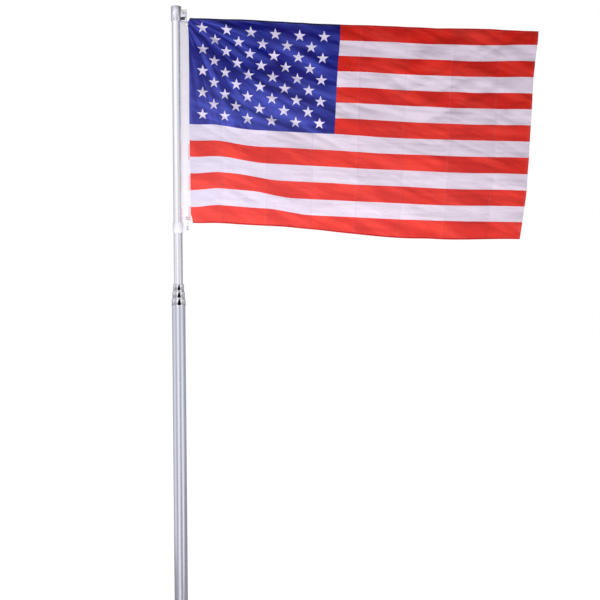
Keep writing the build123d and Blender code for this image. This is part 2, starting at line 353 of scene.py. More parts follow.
# The flag's cloth and how it is sewn
fly_cut, hoist_cut = 1.49, 0.90
stitch_pitch, stitch_share, stitch_half = 2.6 * mm, 0.72, 0.5 * mm
first_crease, crease_pitch = 0.094, 0.1335
# Colours of the painted shade on every other packed panel and at each fold
panel_shade, crease_shade = (0.1, 0.02, 0.08, 1.0), (0.12, 0.02, 0.08, 1.0)
# Colour of the painted shade along fine creases
fine_crease_shade = (0.08, 0.0, 0.06, 1.0)
hem_width = 7 * mm
fly_stitches = (3 * mm, 7 * mm, 11 * mm)
# The hems' red and blue are the inks with painted shade, and the thread is white
hem_red, hem_blue, thread_white = rgb(172, 0, 0), rgb(10, 8, 44), rgb(235, 225, 235)
thread_pitch = 0.9 * mm

# The header, from its CAD node, and how it is sewn
header_low, header_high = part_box("header_band")
header_width = header_high.x - header_low.x
header_height = header_high.z - header_low.z
canvas_dark, canvas_light, canvas_thread = rgb(237, 233, 242), rgb(243, 240, 248), rgb(190, 184, 198)
canvas_pitch = 1.5 * mm
header_stitches = (4 * mm, header_width - 8 * mm, header_width - 3.5 * mm)


def stitches(shader, across, along, *rows):
    """1 on rows of stitches, each at a place across, with the gaps between their threads."""
    near = 0.0
    for row in rows:
        near = shader.either(near, shader.math("COMPARE", across, row, stitch_half))
    step = shader.math("FRACT", shader.math("DIVIDE", along, stitch_pitch))
    return shader.both(near, shader.math("LESS_THAN", step, stitch_share))


def weave(shader, u, v, pitch):
    """The height of a plain weave, from lengths along the cloth."""
    warp = shader.math("SINE", shader.both(u, 2 * pi / pitch))
    weft = shader.math("SINE", shader.both(v, 2 * pi / pitch))
    return shader.both(shader.math("ABSOLUTE", warp), shader.math("ABSOLUTE", weft))


def stars(shader, fly, drop):
    """1 inside the field's stars, which stand on every other crossing of a grid."""
    m, both = shader.math, shader.both
    column = m("DIVIDE", m("SUBTRACT", fly, star_first[0]), star_pitch[0])
    level = m("SUBTRACT", drop, both(fly, star_slope))
    row = m("DIVIDE", m("SUBTRACT", level, star_first[1]), star_pitch[1])
    # A point takes the nearest crossing that holds a star
    across, down = shader.wrapped(column, 1.0), shader.wrapped(row, 1.0)
    odd = m("GREATER_THAN", m("ADD", m("ABSOLUTE", across), m("ABSOLUTE", down)), 1.0)
    across = m("SUBTRACT", across, both(odd, m("SIGN", across)))
    down = m("SUBTRACT", down, both(odd, m("SIGN", down)))
    own_column, own_row = m("SUBTRACT", column, across), m("SUBTRACT", row, down)
    across, down = both(across, star_pitch[0] * fly_cut), both(down, star_pitch[1] * hoist_cut)
    # A star's edge in one tenth of a turn, between an outer and an inner corner
    tenth = m("ABSOLUTE", shader.wrapped(m("ARCTAN2", across, both(down, -1.0)), pi / 5))
    reach = shader.length(across, down)
    inner = star_radius * sin(pi / 10) / sin(7 * pi / 10)
    edge_x, edge_y = inner * sin(pi / 5), inner * cos(pi / 5) - star_radius
    edge = hypot(edge_x, edge_y)
    point_x = both(reach, m("SINE", tenth))
    point_y = m("SUBTRACT", both(reach, m("COSINE", tenth)), star_radius)
    outside = m("SUBTRACT", both(point_x, -edge_y / edge), both(point_y, -edge_x / edge))
    star = m("LESS_THAN", outside, 0.0)
    for value, count in ((own_column, star_columns), (own_row, star_rows)):
        star = both(star, both(m("GREATER_THAN", value, -0.5), m("LESS_THAN", value, count - 0.5)))
    return star


def fold_tone(shader, length, height, flat_place):
    """Soft folds that fan out from the corner that the flag hangs by, and slant further out."""
    m, both = shader.math, shader.both
    from_corner_x, from_corner_z = m("ADD", length, 0.03), m("ADD", height, 0.02)
    turned = m("ARCTAN2", from_corner_z, from_corner_x)
    reach = shader.length(from_corner_x, from_corner_z)
    rays = shader.node("ShaderNodeCombineXYZ", inputs={"X": both(turned, 11.0), "Y": both(reach, 2.6)})
    streaks = shader.noise(1.0, 5, place=rays)
    slanted = shader.node("ShaderNodeVectorRotate", inputs={"Vector": flat_place, "Angle": radians(-19)},
                          rotation_type="Z_AXIS")
    bands = shader.noise(1.0, 4, (3, 17, 1), slanted)
    near_corner = shader.ramp(reach, 0.25, 0.75, 0.8, 0.2)
    return m("ADD", both(streaks, near_corner), both(bands, shader.rest(near_corner)))


def printed_cloth():
    """Thin polyester with its print, folds, creases, hems, stitches and weave."""
    shader = Shader("printed_polyester_cloth", Specular_IOR_Level=0.16)
    m, both, ramp, mix = shader.math, shader.both, shader.ramp, shader.mix
    # The print's own coordinates, and places on the sewn flag from its edges
    fly, print_up = shader.uv("cut")
    drop = shader.rest(print_up)
    along, flag_up = shader.uv("edges")
    below = shader.rest(flag_up)
    length, height = both(along, fly_cut), both(below, hoist_cut)
    flat_place = shader.node("ShaderNodeCombineXYZ", inputs={"X": length, "Y": height})
    stripe = m("GREATER_THAN", m("MODULO", both(drop, stripe_count), 2.0), 1.0)
    field = both(m("LESS_THAN", fly, field_share), m("LESS_THAN", drop, field_stripes / stripe_count))
    star = stars(shader, fly, drop)
    folds = fold_tone(shader, length, height, flat_place)
    # The inks are painted paler on the folds' crests as highlight, and painted paler towards the hoist's
    # foot as sheen
    crest_highlight = ramp(folds, 0.45, 0.6)
    painted_sheen = both(ramp(along, 0.0, 1.1, 1.0, 0.25), ramp(below, 0.15, 0.8))
    red = mix(m("ADD", both(crest_highlight, 0.6), both(painted_sheen, 0.5), clamp=True), red_dark, red_light)
    # Painted highlight: the blue is lighter towards the hoist
    hoist_highlight = ramp(along, 0.0, 0.2, 0.22, 0.0)
    paler = m("ADD", both(crest_highlight, 0.85), m("ADD", both(painted_sheen, 0.42), hoist_highlight), clamp=True)
    blue = mix(paler, blue_dark, blue_light)
    # Painted shade: the whites are a little darker towards the hoist's foot
    white = mix(both(painted_sheen, 0.05), mix(ramp(along, 0.05, 0.4), white_near, white_far), shaded_white)
    ink = mix(stripe, red, white)
    ink = mix(both(field, shader.rest(star)), ink, blue)
    ink = mix(both(field, star), ink, star_white)
    # Painted sheen: a little white over every ink towards the hoist's foot
    ink = mix(both(painted_sheen, 0.035), ink, highlight_white)
    # Folded for packing: every other panel is painted darker as shade, with a painted highlight line and a
    # painted shadow line at each fold
    panel = m("DIVIDE", m("SUBTRACT", along, first_crease), crease_pitch)
    from_fold = shader.wrapped(panel, 0.5)
    patchy = shader.noise(14, 3, (0.6, 1, 1), flat_place)
    outside_field = shader.rest(both(field, 0.8))
    pale = ramp(m("ABSOLUTE", m("ADD", from_fold, 0.008)), 0.0, 0.028, 1.0, 0.0)
    pale = both(both(pale, outside_field), ramp(patchy, 0.42, 0.65, 0.0, 0.03))
    dark = ramp(m("ABSOLUTE", m("SUBTRACT", from_fold, 0.016)), 0.0, 0.026, 1.0, 0.0)
    dark = both(both(dark, outside_field), ramp(patchy, 0.35, 0.56, 0.13, 0.0))
    ink = mix(both(m("FLOORED_MODULO", m("FLOOR", panel), 2.0), 0.035), ink, panel_shade)
    ink = mix(dark, mix(pale, ink, highlight_white), crease_shade)
    # Hems, painted darker as shade where the cloth lies double, and their stitches
    from_fly, from_foot = m("SUBTRACT", fly_cut, length), m("SUBTRACT", hoist_cut, height)
    sewn = stitches(shader, from_fly, height, *fly_stitches)
    for from_edge in (height, from_foot):
        sewn = shader.either(sewn, stitches(shader, from_edge, length, hem_width))
    top_hem = both(m("LESS_THAN", height, hem_width), m("ADD", both(field, 0.25), 0.55))
    foot_hem = both(m("LESS_THAN", from_foot, hem_width), 0.65)
    ink = mix(shader.either(top_hem, foot_hem), ink, mix(field, hem_red, hem_blue))
    ink = mix(both(sewn, 0.1), ink, thread_white)
    # Wrinkles, and fine creases that are as narrow as a contour of the noise, painted a little darker as
    # shade
    wrinkles = shader.noise(1.0, 4, (14, 70, 1), flat_place)
    fine = m("ABSOLUTE", m("SUBTRACT", shader.noise(1.0, 5, (8, 70, 1), flat_place), 0.5))
    fine = both(ramp(fine, 0.0, 0.03, 1.0, 0.0), ramp(patchy, 0.4, 0.6))
    shader.colour(mix(both(fine, 0.12), ink, fine_crease_shade))
    shader.roughness(ramp(shader.noise(9, 4, place=flat_place), 0.2, 0.8, 0.36, 0.46))
    shader.bump(weave(shader, length, height, thread_pitch), 0.1, 0.1 * mm)
    shader.bump(both(folds, ramp(below, 0.5, 0.7, 1.0, 0.5)), 0.45, 4 * mm)
    shader.bump(m("ADD", both(m("COMPARE", from_fold, 0.0, 0.012), patchy), wrinkles), 0.5, 2 * mm)
    shader.bump(fine, 0.4, 0.6 * mm)
    shader.bump(sewn, 0.3, 0.3 * mm)
    return shader.material


def canvas():
    """White header canvas, with the flag's red stripes showing faintly at its sewn edge."""
    shader = Shader("header_canvas_cloth", Sheen_Weight=0.1, Sheen_Roughness=0.5)
    m, both = shader.math, shader.both
    across, height = shader.uv("cut")
    patch = shader.noise(26, 4)
    tone = shader.mix(shader.ramp(patch, 0.3, 0.7), canvas_dark, canvas_light)
    share = shader.rest(m("DIVIDE", height, header_height))
    stripe = m("LESS_THAN", m("MODULO", both(share, stripe_count), 2.0), 1.0)
    below_field = m("GREATER_THAN", share, field_stripes / stripe_count)
    sewn_in = m("GREATER_THAN", across, header_width - hem_width)
    tone = shader.mix(both(both(stripe, sewn_in), both(below_field, 0.3)), tone, red_light)
    sewn = stitches(shader, across, height, *header_stitches)
    shader.colour(shader.mix(both(sewn, 0.35), tone, canvas_thread))
    shader.roughness(shader.ramp(patch, 0.2, 0.8, 0.78, 0.9))
    shader.bump(weave(shader, across, height, canvas_pitch), 0.1, 0.2 * mm)
    shader.bump(sewn, 0.5, 0.4 * mm)
    return shader.material


bottom_metal = drawn_aluminium("bottom_tube_metal", rgb(228, 230, 240), rgb(218, 220, 232), 0.2)
top_metal = drawn_aluminium("top_tube_metal", rgb(252, 251, 254), rgb(244, 243, 249), 0.24)
truck_metal = cast_alloy("truck_alloy_metal", rgb(238, 236, 244), rgb(222, 220, 230))
zinc_metal = plated("zinc_metal", rgb(226, 226, 232), rgb(190, 190, 198), 0.24)
brass_metal = plated("brass_metal", rgb(228, 214, 212), rgb(194, 172, 166), 0.34)
collar_metal = collar_chrome()
nylon = moulded("white_nylon_plastic", rgb(237, 235, 244), rgb(226, 223, 235), 0.45)
black = moulded("black_plastic_skin", rgb(84, 84, 90), rgb(62, 62, 68), 0.5)
cloth_material = printed_cloth()
canvas_material = canvas()

# Tubes, guides and plug stay as the CAD has them
for material, nodes in (
    (bottom_metal, ("bottom_tube", "lower_middle_tube", "upper_middle_tube")),
    (top_metal, ("top_tube",)),
    (black, ("lower_middle_guide", "upper_middle_guide", "top_guide", "top_plug")),
):
    for node in nodes:
        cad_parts[node].data.materials.clear()
        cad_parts[node].data.materials.append(material)


# Twist-lock collars, turned as one skin round the CAD collar's own sizes
dimple_count = 10
dimple_facing = radians(-80)
dimple_low, dimple_wide, dimple_high = 4 * mm, 10.5 * mm, 29.6 * mm
dimple_depth = 3.7 * mm
dimple_taper, dimple_rim = 0.55, 60
rim_round = 1.2 * mm
outer_edge, bore_edge = 0.4 * mm, 0.3 * mm
slide_gap = 0.3 * mm
skirt_height = 3.5 * mm
collar_wall = 1.2 * mm
collar_sides, side_steps, rim_steps = 360, 64, 6


def dimple(angle, height, radius):
    """Depth of the flat teardrop dimples at a place on a collar's side."""
    if not dimple_low < height < dimple_high:
        return 0.0
    pitch = 2 * pi / dimple_count
    turn = (angle - dimple_facing + pitch / 2) % pitch - pitch / 2
    if height < dimple_wide:
        half = sqrt(1 - ((dimple_wide - height) / (dimple_wide - dimple_low)) ** 2)
    else:
        half = ((dimple_high - height) / (dimple_high - dimple_wide)) ** dimple_taper
    across = abs(turn) / max(half * pitch / 2, 1e-6)
    if across >= 1:
        return 0.0
    slope = (dimple_high - height) / (dimple_high - dimple_low)
    cut = dimple_depth * slope - radius * (1 / cos(turn) - 1)
    return max(cut, 0) * (1 - across**dimple_rim)


def collar_section(own, inner, height):
    """Radii and heights up the side, over the rim, down the bore and out under the skirt, and
    which of them are on the side."""
    outside = own + collar_wall
    side_low, side_high = outer_edge, height - rim_round
    section = [(outside - outer_edge, 0.0), (outside, side_low)]
    section += [(outside, up) for up in spread(side_low, side_high, side_steps)[1:]]
    side = range(1, len(section))
    for angle in spread(0, pi / 2, rim_steps)[1:]:
        section.append((outside - rim_round * (1 - cos(angle)), side_high + rim_round * sin(angle)))
    section += [(inner + bore_edge, height), (inner, height - bore_edge)]
    section += [(inner, skirt_height + slide_gap), (own + slide_gap, skirt_height + slide_gap)]
    section += [(own + slide_gap, 0.0)]
    return section, side


def collar_piece(level, own_tube, inner_tube):
    """A collar on the mouth of its own tube, closed round the tube inside."""
    node = f"{level}_collar"
    low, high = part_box(node)
    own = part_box(own_tube)[1].x
    section, side = collar_section(own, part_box(inner_tube)[1].x + slide_gap, high.z - low.z)
    points, depths = [], []
    for index, (radius, up) in enumerate(section):
        for k in range(collar_sides):
            angle = 2 * pi * k / collar_sides
            depth = dimple(angle, up, own + collar_wall) if index in side else 0.0
            reach = radius - depth
            points.append((reach * cos(angle), reach * sin(angle), low.z + up))
            depths.append(depth / dimple_depth)
    faces = band(len(section), collar_sides, closed=True)
    collar = new_piece(f"{level}_twist_collar", points, faces, collar_metal, f"{level}_collar_body",
                       "polished_collar")
    shade = collar.data.attributes.new("depth", "FLOAT", "POINT")
    shade.data.foreach_set("value", depths)
    sharp_by_angle(collar.data, 50)
    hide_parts(node)


collar_piece("lower", "bottom_tube", "lower_middle_tube")
collar_piece("middle", "lower_middle_tube", "upper_middle_tube")
collar_piece("upper", "upper_middle_tube", "top_tube")


# Rounded stand-ins for the hard pieces
rounded("pole_foot_plug", "foot_plug", black, "bottom_section", 0.8 * mm)
rounded("truck_body", "truck_cap", truck_metal, swivel, 1.8 * mm)
rounded("truck_shoulder_screw", "truck_screw", zinc_metal, swivel, 0.4 * mm)
rounded("truck_cheeks", "truck_bracket", truck_metal, swivel, 0.35 * mm)
rounded("truck_stop", "bracket_stop", black, swivel, 0.6 * mm)
rounded("truck_ring", "lower_ring", nylon, swivel, 0.7 * mm)
rounded("hook_pins", "snap_pins", zinc_metal, swivel, 0.35 * mm)
rounded("header_grommets", "grommets", brass_metal, swivel, 0.2 * mm)


# Rivet through the cheeks, with a domed head on each side
rivet_x, rivet_z = 30.5 * mm, 2848 * mm
rivet_radius, rivet_rise, rivet_sunk = 4.6 * mm, 1.3 * mm, 0.3 * mm
rivet_rings, rivet_sides = 7, 32
cheek_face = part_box("truck_bracket")[1].y


def rivet_head(side):
    """Vertices and faces of the head towards -Y (side -1) or +Y (side 1)."""
    points = []
    for i in range(rivet_rings):
        angle = pi / 2 * i / rivet_rings
        reach = rivet_radius * cos(angle)
        out = rivet_rise * sin(angle) if i else -rivet_sunk
        for k in range(rivet_sides):
            turn = 2 * pi * k / rivet_sides
            points.append((rivet_x + reach * cos(turn), side * (cheek_face + out),
                           rivet_z + reach * sin(turn)))
    points.append((rivet_x, side * (cheek_face + rivet_rise), rivet_z))
    top = len(points) - 1
    last = top - rivet_sides
    faces = band(rivet_rings, rivet_sides)
    faces += [(last + k, last + (k + 1) % rivet_sides, top) for k in range(rivet_sides)]
    faces.append(tuple(reversed(range(rivet_sides))))
    return points, faces if side < 0 else [face[::-1] for face in faces]


new_piece("bracket_rivet", *joined([rivet_head(-1), rivet_head(1)]), zinc_metal, swivel, "zinc")


# Snap hooks: a barrel eye, a swivel neck, a cross bar and a bent hook closed by a sprung gate
eye_radius, eye_half, eye_bore = 6.5 * mm, 3.6 * mm, 3.08 * mm
eye_steps, eye_sides = 48, 24
# Places along the neck and its radii there, in millimetres, with the swivel as the thick part
neck_stations = [
    (5.6, 2.6), (8, 2.5), (9.5, 2.5), (10, 3.4), (10.6, 3.7), (15.4, 3.7), (16, 3.4), (16.4, 2.7),
    (18.5, 2.6), (19.8, 3.2), (20.5, 3.2),
]
bar_from, bar_to, bar_round = 19.5 * mm, 24.5 * mm, 1.6 * mm
bar_steps = 16
hook_half, hook_bar = 5.5 * mm, 2 * mm
hook_reach, hook_tip = 44.3 * mm, 33 * mm
spine_steps, bend_steps, tip_steps = 8, 24, 5
gate_radius, gate_sunk, gate_steps = 1.6 * mm, 1 * mm, 8
lug_place, lug_radii = 3.2 * mm, [1.2 * mm, 1.5 * mm]
lug_from, lug_to = hook_half - 1.2 * mm, hook_half + 1.9 * mm


def eye_ring(at, across):
    """A thick ring round the pin, with rounded rims."""
    half_wall, middle = (eye_radius - eye_bore) / 2, (eye_radius + eye_bore) / 2
    section = []
    for k in range(eye_sides):
        angle = 2 * pi * k / eye_sides
        square = max(abs(cos(angle)), abs(sin(angle))) ** 0.7
        reach, side = half_wall * cos(angle) / square, eye_half * sin(angle) / square
        section.append((max(min(reach, half_wall), -half_wall), max(min(side, eye_half), -eye_half)))
    ring = []
    for j in range(eye_steps):
        turn = 2 * pi * j / eye_steps
        for reach, side in section:
            out = middle + reach
            ring.append(at(out * cos(turn), side) + across * (out * sin(turn)))
    return ring, band(eye_steps, eye_sides, closed=True, inward=True)


def cross_bar(at):
    half_bar, bar_radius = hook_half + hook_bar, (bar_to - bar_from) / 2
    places = spread(-half_bar, half_bar, bar_steps)
    insets = [max(abs(place) - half_bar + bar_round, 0) / bar_round for place in places]
    radii = [bar_radius * sqrt(max(1 - inset**2, 0.08)) for inset in insets]
    return tube_along([at(bar_from + bar_radius, place) for place in places], radii)


def bent_hook(at):
    """Spine, bend and tip."""
    spine_from, bend_from = (bar_from + bar_to) / 2, hook_reach - hook_half
    line = [at(reach, hook_half) for reach in spread(spine_from, bend_from, spine_steps)[:-1]]
    for angle in spread(pi / 2, -pi / 2, bend_steps):
        line.append(at(bend_from + hook_half * cos(angle), hook_half * sin(angle)))
    line += [at(reach, -hook_half) for reach in spread(bend_from, hook_tip, tip_steps)[1:]]
    return tube_along(line, [hook_bar] * (len(line) - 1) + [hook_bar * 0.8])


def hook_parts(pin, grommet):
    """Vertices and faces of a snap hook, and of its gate, from a pin's middle towards a grommet."""
    along = (grommet - pin).normalized()
    sideways = Vector((0, 1, 0))

    def at(reach, side=0.0):
        return pin + along * reach + sideways * side

    neck = tube_along([at(place * mm) for place, radius in neck_stations],
                      [radius * mm for place, radius in neck_stations])
    hook = joined([eye_ring(at, along.cross(sideways)), neck, cross_bar(at), bent_hook(at)])
    gate_line = [at(reach, -hook_half) for reach in spread(bar_to - gate_sunk, hook_tip, gate_steps)]
    lug_line = [at(bar_to + lug_place, -side) for side in (lug_from, lug_to)]
    gate = joined([tube_along(gate_line, [gate_radius] * len(gate_line)), tube_along(lug_line, lug_radii)])
    return hook, gate


def two_parts(node):
    """The middles of a node's lower and upper solids, which lie far apart along the pole."""
    low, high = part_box(node)
    middle = (low.z + high.z) / 2
    found = []
    for upper in (False, True):
        spots = [v.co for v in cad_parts[node].data.vertices if (v.co.z > middle) == upper]
        found.append(Vector([(min(s[i] for s in spots) + max(s[i] for s in spots)) / 2 for i in range(3)]))
    return found


eyelets = two_parts("grommets")
for place, pin, eyelet in zip(("lower", "upper"), two_parts("snap_pins"), eyelets):
    parts = zip(("hook", "gate"), ("snap_hooks", "snap_gates"), hook_parts(pin, eyelet))
    for part, node, shape in parts:
        piece = new_piece(f"{place}_snap_{part}", *shape, nylon, swivel, "white_nylon")
        sharp_by_angle(piece.data, 50)
        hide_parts(node)


def two_layers(work, wide, high, place):
    """A front and a back grid of vertices, each where a function of side, row and column says."""
    return [[[work.verts.new(place(side, j, i)) for i in range(wide)] for j in range(high)]
            for side in (-1, 1)]


def hoist_place(g):
    """The seam between header and cloth, which isn't quite straight."""
    drawn = 3.2 * rise(g, 0.5, 0.45) + 0.8 * bell(g, 0.25, 0.15)
    drawn -= 4.5 * bell(g, 0, 0.05) + 2.5 * bell(g, 0.024, 0.018)
    return header_high.x + drawn * mm


# Flag header: a folded canvas band, slightly puckered, with a hole under each grommet
cells_across, cells_up = 16, 220
header_half = (header_high.y - header_low.y) / 2
header_thin, header_round = 0.55, 1.5 * mm
pucker_depth = 0.25 * mm
hole_radius = 5.4 * mm


def open_hole(work, centre):
    """Pushes the threads apart round a grommet, and takes out the cells inside."""
    for vert in work.verts:
        away = Vector((vert.co.x - centre.x, 0, vert.co.z - centre.z))
        if 0 < away.length < 2 * hole_radius:
            push = hole_radius + away.length / 2
            vert.co.x = centre.x + away.x / away.length * push
            vert.co.z = centre.z + away.z / away.length * push
    inside = []
    for cell in work.faces:
        middle = cell.calc_center_median()
        if abs(cell.normal.y) > 0.3 and hypot(middle.x - centre.x, middle.z - centre.z) < hole_radius:
            inside.append(cell)
    bmesh.ops.delete(work, geom=inside, context="FACES_ONLY")


def header_piece():
    work = bmesh.new()
    uv = work.loops.layers.uv.new("cut")

    def place(side, j, i):
        z = header_low.z + header_height * j / cells_up
        seam = hoist_place(1 - j / cells_up) - header_high.x
        x = header_low.x + (header_width + seam) * i / cells_across
        side_gap = min(i, cells_across - i) / cells_across * header_width
        edge = min(side_gap, z - header_low.z, header_high.z - z)
        thick = header_half * (header_thin + (1 - header_thin) * min(edge / header_round, 1))
        pucker = pucker_depth * noise.noise(Vector((x * 60, 0, z * 22)))
        return x, side * thick + pucker, z

    def face(corners):
        made = work.faces.new(corners)
        made.smooth = True
        for loop in made.loops:
            loop[uv].uv = (loop.vert.co.x - header_low.x, loop.vert.co.z - header_low.z)

    front, back = two_layers(work, cells_across + 1, cells_up + 1, place)
    for grid, step in ((front, 1), (back, -1)):
        for j in range(cells_up):
            for i in range(cells_across):
                face([grid[j][i], grid[j][i + 1], grid[j + 1][i + 1], grid[j + 1][i]][::step])
    for j in range(cells_up):
        face([front[j + 1][0], back[j + 1][0], back[j][0], front[j][0]])
        face([front[j][-1], back[j][-1], back[j + 1][-1], front[j + 1][-1]])
    for i in range(cells_across):
        face([front[0][i], back[0][i], back[0][i + 1], front[0][i + 1]])
        face([front[-1][i + 1], back[-1][i + 1], back[-1][i], front[-1][i]])
    for eyelet in eyelets:
        open_hole(work, eyelet)
    bmesh.ops.bridge_loops(work, edges=[edge for edge in work.edges if len(edge.link_faces) == 1])
    piece = piece_of(work, "flag_header", canvas_material)
    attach(piece, swivel)
    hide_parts("header_band")


header_piece()

# Flag cloth. s runs from hoist to fly and g from the top edge to the foot, both 0 to 1
sewn_fly, sewn_hoist = 1480 * mm, 880 * mm
top_hoist, top_fly = 2.8296, 2.7610
foot_hoist, foot_fly = 1.9561, 1.8762
fly_top_x, fly_foot_x = 1.5453, 1.4549
fly_bulge = 5 * mm
tuck = 1.2 * mm
cloth_half, hem_half = 0.35 * mm, 0.6 * mm
fly_hem = 12 * mm
drawn_aside, drawn_until = 0.0657, 0.6
crease_height, crease_count = 1.6 * mm, 7
level_folds = 4
cloth_columns, cloth_rows = 262, 152


def step_place(g):
    """Where the soft step in the low stripes runs, further from the hoist lower down."""
    low = max(g - 0.54, 0) / 0.46
    return 0.135 + 0.07 * low + 0.16 * low * low


def swell(x, z, wide, high, part):
    """Smooth noise with swells of a width and a height, and its own for each part."""
    return noise.noise(Vector((x / wide, z / high, part)))


def fall(s, g):
    """How far a point hangs below the straight line from hoist to fly."""
    # The top edge, and the stripes above the step
    at_edge = 3.2 * rise(s, 0.25, 0.16) + 2.8 * rise(s, 0.5, 0.18)
    at_edge = at_edge * (1 - rise(s, 0.69, 0.1)) - 4 * bell(s, 0.165, 0.065)
    above = 6.2 * rise(s, 0.14, 0.22) + 4.6 * rise(s, 0.5, 0.25)
    above = above * (1 - rise(s, 0.78, 0.24)) - 1.6 * bell(s, 0.125, 0.04)
    above = at_edge + (above - at_edge) * rise(g, 0, 0.075)
    # The low stripes are lifted on the step's hoist side and sag past it
    foot = rise(g, 0.93, 0.07)
    lift = 8.1 + 6.4 * rise(g, 0.54, 0.3) - 9 * foot
    lift *= rise(s, 0, 0.09) * (1 - 0.25 * rise(s, 0.09, 0.1))
    sag = 7.6 + 4 * rise(s, 0.42, 0.2)
    sag -= 3.6 * (1 - rise(g, 0.56, 0.12)) * (1 - rise(s, 0.4, 0.2))
    sag += 2.4 * bell(g, 0.846, 0.05) + foot * (11 * rise(s, 0.3, 0.36) - 3)
    sag += foot * (2.6 * bell(s, 0.31, 0.05) - 2.2 * bell(s, 0.41, 0.05) - 2 * bell(s, 0.73, 0.04))
    sag *= 1 - rise(s, 0.72, 0.32)
    sag += 4.2 * rise(s, 0.55, 0.35) * bell(g, 0.77, 0.17)
    step_width = 0.14 + 0.04 * foot
    share = rise(s, step_place(g) - step_width / 2, step_width)
    below = share * sag - (1 - share) * lift
    ripple = 1.8 * swell(s * 7, g * 4, 1, 1, 2) * rise(g, 0, 0.1)
    ripple *= rise(s, 0, 0.2) * rise(1 - s, 0, 0.1)
    return (above + (below - above) * rise(g, 0.44, 0.1) + ripple) * mm


def straight(s, g):
    """Share of the way from hoist to fly as the eye sees it, where the cloth is drawn aside."""
    return s - drawn_aside * min(g, drawn_until) * s * (1 - s)


def ridges(x, z, wide, high, part):
    """Ridges between swells."""
    return 1 - 2 * abs(swell(x, z, wide, high, part)) ** 0.8


def slanted(x, z, degrees):
    """A place along and across a direction that slants down towards the fly."""
    slope = radians(degrees)
    return x * cos(slope) + z * sin(slope), z * cos(slope) - x * sin(slope)


def depth(s, g):
    """How far a point stands towards -Y or +Y. Folds are written in millimetres."""
    x, z = sewn_fly / mm * s, sewn_hoist / mm * g
    # A fan of folds from the corner that the flag hangs by
    reach, turn = hypot(x + 20, z + 20), atan2(z + 20, x + 20)
    fan = rise(reach, 20, 130) * exp(-((reach / 460) ** 2))
    wobble = swell(x, z, 260, 260, 3)
    y = 3.8 * fan * (1 - 2 * abs(sin(12.5 * turn + 2.4 * wobble + 0.4))) * (0.7 + 0.3 * sin(9 * turn))
    # Slanted folds, stronger near the hoist's top and weaker near its foot
    near = (1 - rise(s, 0.35, 0.3)) * (1 - rise(g, 0.45, 0.2))
    low_left = (1 - rise(s, 0.5, 0.3)) * rise(g, 0.45, 0.2)
    along, across = slanted(x, z, 20)
    y += (5 - 3 * low_left + 7 * near) * swell(along, across, 420, 95, 11)
    y += (1.8 - low_left + 2.2 * near) * ridges(along, across, 240, 42, 27)
    # Folds that rise to the fly's top corner
    corner = rise(s, 0.45, 0.25) * (1 - 0.8 * rise(g, 0.3, 0.35))
    along, across = slanted(x, z, -33)
    y += 19 * corner * swell(along, across, 520, 82, 5)
    y += 3.4 * corner * ridges(along, across, 460, 64, 15)
    # Level folds low on the fly side, fine level ripples, and small dents
    low_right = rise(s, 0.3, 0.3) * rise(g, 0.4, 0.3)
    y += 6.5 * low_right * swell(x, z, 330, 62, 67)
    y += 1.4 * swell(x, z, 170, 14, 41) * (0.4 + 0.6 * rise(s, 0.3, 0.4))
    y += (4 - 1.5 * rise(g, 0.45, 0.2)) * swell(x, z, 80, 60, 53)
    # One slow wave from hoist to fly, and the soft step in the low stripes
    y += 6 * sin(2 * pi * (1.15 * s - 0.25 * g) + 0.4) * rise(s, 0, 0.2)
    y -= 2 * bell(s, step_place(g), 0.045) * rise(g, 0.5, 0.2) * (1 - rise(g, 0.9, 0.1))
    # Packed panels lean to and fro, with a crease where they meet
    panel = (straight(s, g) - first_crease - 0.006 * g) / crease_pitch
    nearest = round(panel)
    zigzag = abs((panel % 2) - 1) - 0.5
    y += 6 * zigzag * (0.5 + swell(s * 2, z, 1, 300, 8))
    if 0 <= nearest < crease_count:
        away = abs(panel - nearest) * sewn_fly / mm * crease_pitch
        strength = 0.5 + 0.9 * swell(nearest * 7.3, z, 1, 90, 0)
        y += (-1) ** nearest * crease_height / mm * strength * exp(-away / 9)
    level = g * level_folds
    if 0 < round(level) < level_folds:
        y += 0.5 * exp(-abs(level - round(level)) * sewn_hoist / mm / level_folds / 8)
    return y * mm * rise(s, 0, 0.035)


def cloth_place(s, g):
    """Middle of the cloth's thickness."""
    # Both corners at the hoist are rounded in, and the fly bows and waves a little
    corner_top = 12 * mm * (1 - min(g / 0.028, 1)) * (1 - min(s / 0.1, 1))
    corner_foot = 9 * mm * max(g - 0.955, 0) / 0.045 * (1 - min(s / 0.15, 1))
    fly_x = fly_top_x + (fly_foot_x - fly_top_x) * g + fly_bulge * 4 * g * (1 - g)
    fly_x -= (4 * sin(2 * pi * g) + 3 * bell(g, 0.22, 0.12) - 2.5 * bell(g, 0.8, 0.08)) * mm
    aside = 2.6 * (1 - rise(g, 0, 0.22)) * (1 - rise(s, 0.6, 0.3)) * rise(s, 0, 0.1)
    aside += 2.6 * bell(s, 0.05, 0.05) - 7.7 * bell(s, 0.18, 0.1) * bell(g, 0.37, 0.2)
    start = hoist_place(g) - tuck
    x = start + corner_top + corner_foot + (fly_x - start) * straight(s, g) + aside * mm
    top = top_hoist + (top_fly - top_hoist) * s
    foot = foot_hoist + (foot_fly - foot_hoist) * s
    return Vector((x, depth(s, g), top + (foot - top) * g - fall(s, g)))


def print_place(s, g):
    """The print's own coordinates, in shares of fly and hoist, after the hems were turned."""
    from_top = 0.02 * max(1 - s / 0.25, 0) ** 2 + 0.01 * rise(s, 0.5, 0.5)
    from_foot = 0.996 + 0.009 * rise(s, 0.4, 0.4)
    drop = from_top + (from_foot - from_top) * g + 0.055 * (1 - s * s) * g * (1 - g)
    return s, 1 - min(drop, 0.9995)


def lines(count, extras):
    """Even divisions of 0 to 1, with extra lines where hems and folds run."""
    places = {round(k / count, 5) for k in range(count + 1)}
    for extra in extras:
        near = min(places, key=lambda p: abs(p - extra))
        if 0 < near < 1 and abs(near - extra) < 0.35 / count:
            places.discard(near)
        places.add(round(extra, 5))
    return sorted(places)


